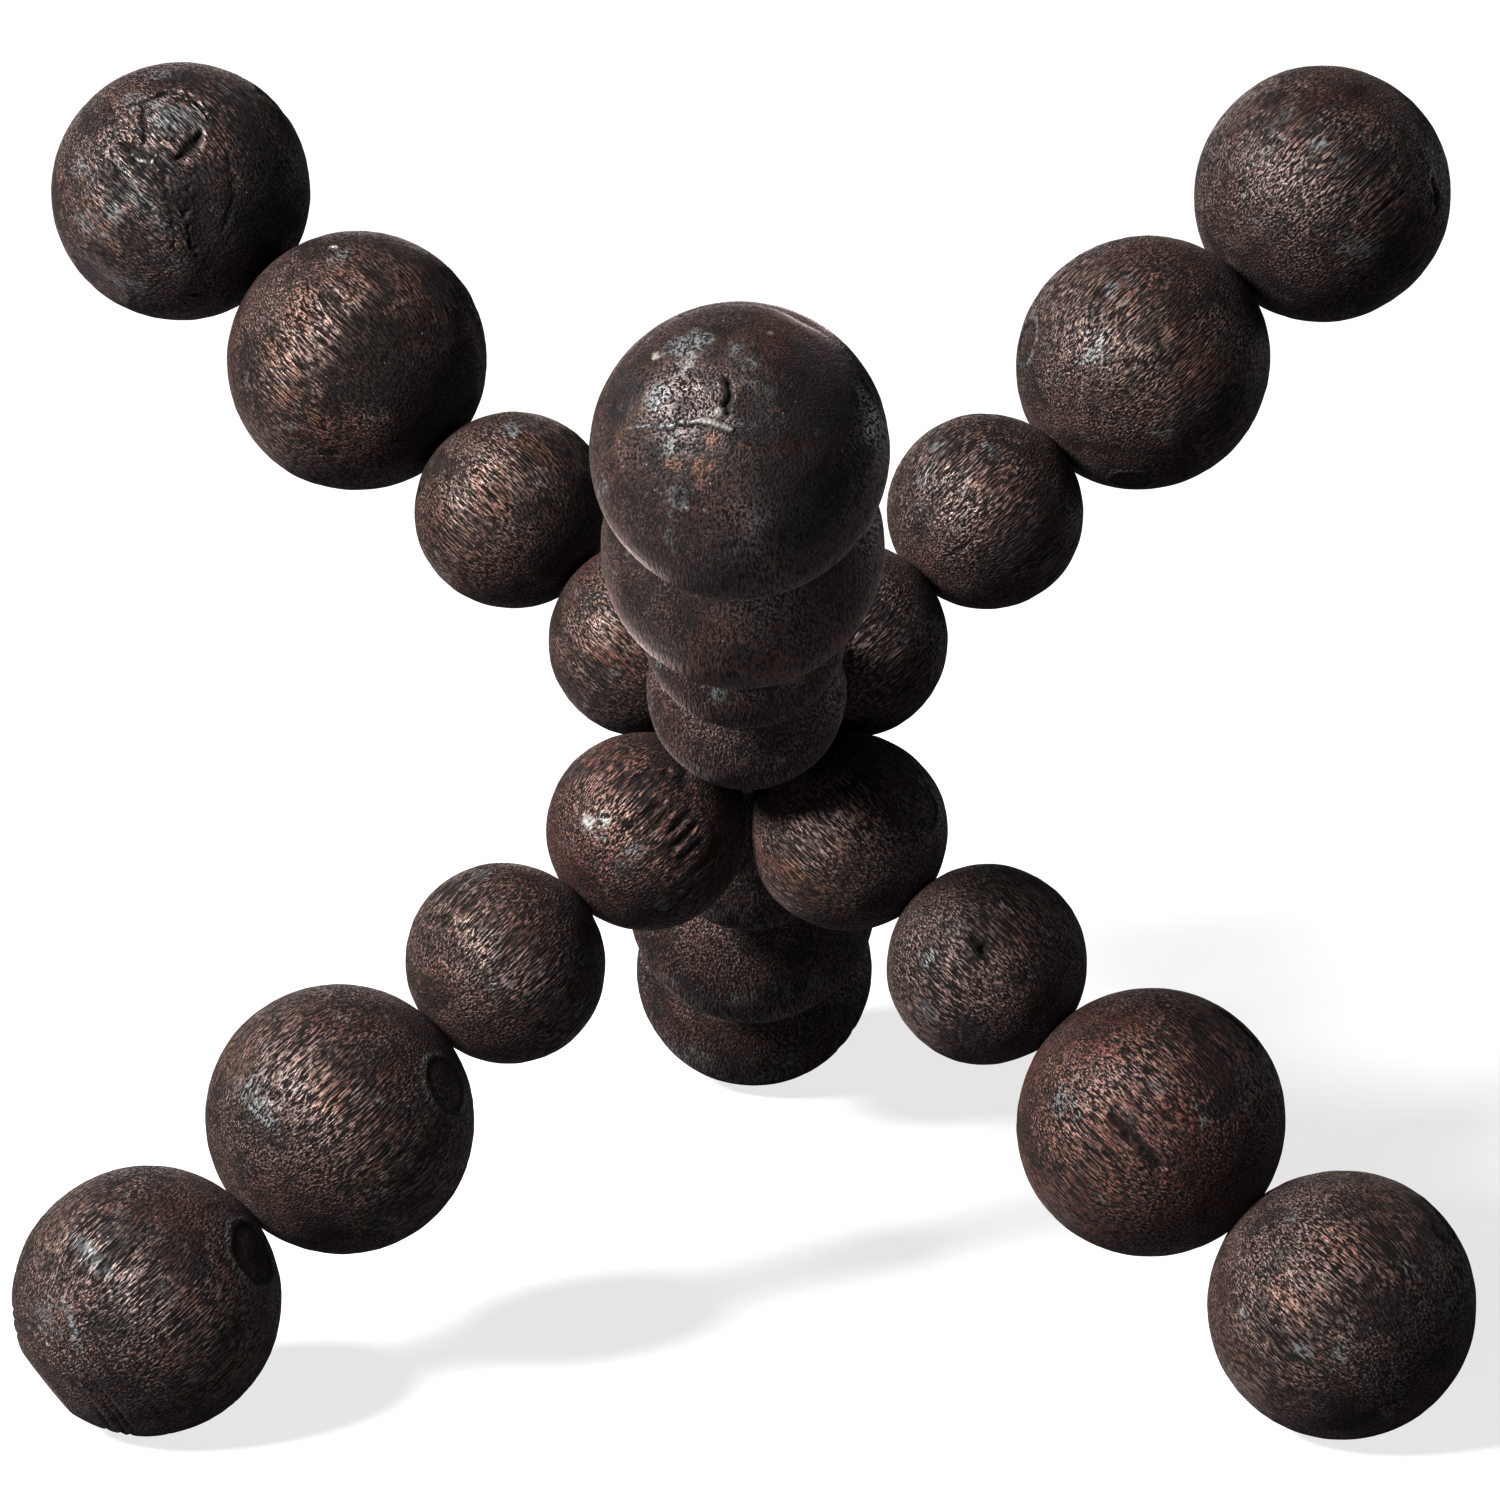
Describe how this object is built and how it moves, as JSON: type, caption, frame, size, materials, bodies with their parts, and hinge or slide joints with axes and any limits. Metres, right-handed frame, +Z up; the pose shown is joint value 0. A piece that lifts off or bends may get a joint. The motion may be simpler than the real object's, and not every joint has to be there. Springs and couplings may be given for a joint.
{
  "type": "table ornament",
  "caption": "Table ornament shaped like a giant playing jack: square-set arms of dark turned wood balls, threaded on steel rods that screw into a core block.",
  "frame": {"origin": "on the surface that the jack stands on, straight under the middle of the core block", "axes": "+Z up; the front_high arm points towards -Y and up, the back_low arm towards +Y and down; +X is to the right when the front_high arm points at the viewer"},
  "size_m": [0.217, 0.2443, 0.1845],
  "materials": {
    "wood": "turned hardwood, stained near black over brown, waxed to a dull satin, with rubbed copper-brown high spots and grey scuffs",
    "steel": "black oxide, with turning marks"
  },
  "bodies": {
    "root": {"core_block": "steel", "front_high_rod": "steel", "back_right_high_rod": "steel", "back_left_high_rod": "steel", "back_low_rod": "steel", "front_left_low_rod": "steel", "front_right_low_rod": "steel", "front_high_ball_1": "wood", "front_high_ball_2": "wood", "front_high_ball_3": "wood", "front_high_ball_4": "wood", "back_right_high_ball_1": "wood", "back_right_high_ball_2": "wood", "back_right_high_ball_3": "wood", "back_right_high_ball_4": "wood", "back_left_high_ball_1": "wood", "back_left_high_ball_2": "wood", "back_left_high_ball_3": "wood", "back_left_high_ball_4": "wood", "back_low_ball_1": "wood", "back_low_ball_2": "wood", "back_low_ball_3": "wood", "back_low_ball_4": "wood", "front_left_low_ball_1": "wood", "front_left_low_ball_2": "wood", "front_left_low_ball_3": "wood", "front_left_low_ball_4": "wood", "front_right_low_ball_1": "wood", "front_right_low_ball_2": "wood", "front_right_low_ball_3": "wood", "front_right_low_ball_4": "wood"}
  },
  "joints": []
}
